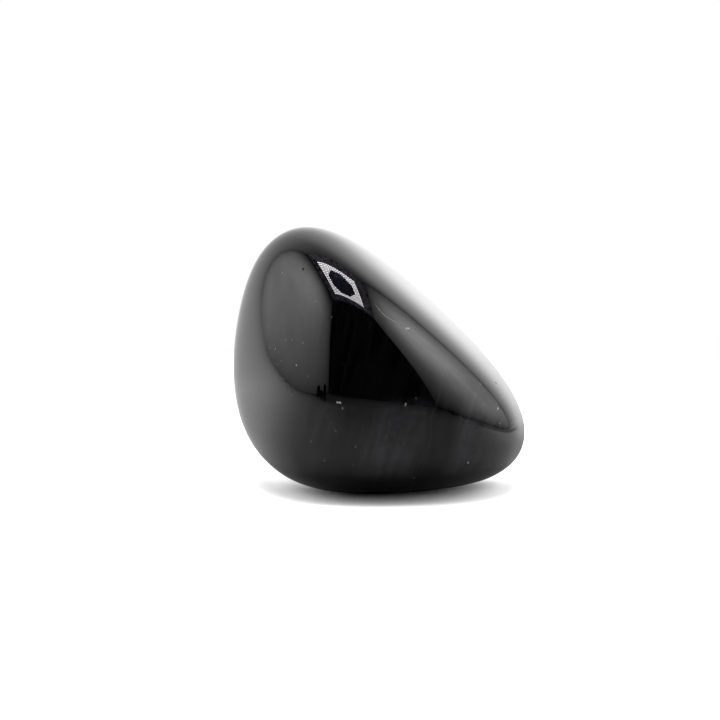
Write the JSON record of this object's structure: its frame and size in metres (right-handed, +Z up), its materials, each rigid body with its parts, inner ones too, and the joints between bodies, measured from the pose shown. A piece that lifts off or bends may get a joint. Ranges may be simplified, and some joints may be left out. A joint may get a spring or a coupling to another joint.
{
  "type": "polished obsidian chunk",
  "caption": "Tumbled, mirror-polished black obsidian chunk: a rounded, lopsided tetrahedron with a high blunt peak and a long slope down to a low nose, resting on a small worn flat.",
  "frame": {"origin": "on the surface the stone rests on, under the middle of its bounding box", "axes": "+Z up, +X towards the low nose at the end of the long slope, -Y towards the tall front face, +Y towards the back"},
  "size_m": [0.0304, 0.0238, 0.0269],
  "materials": {
    "polished_obsidian": "mirror polish"
  },
  "bodies": {
    "root": {"obsidian_stone": "polished_obsidian"}
  },
  "joints": []
}
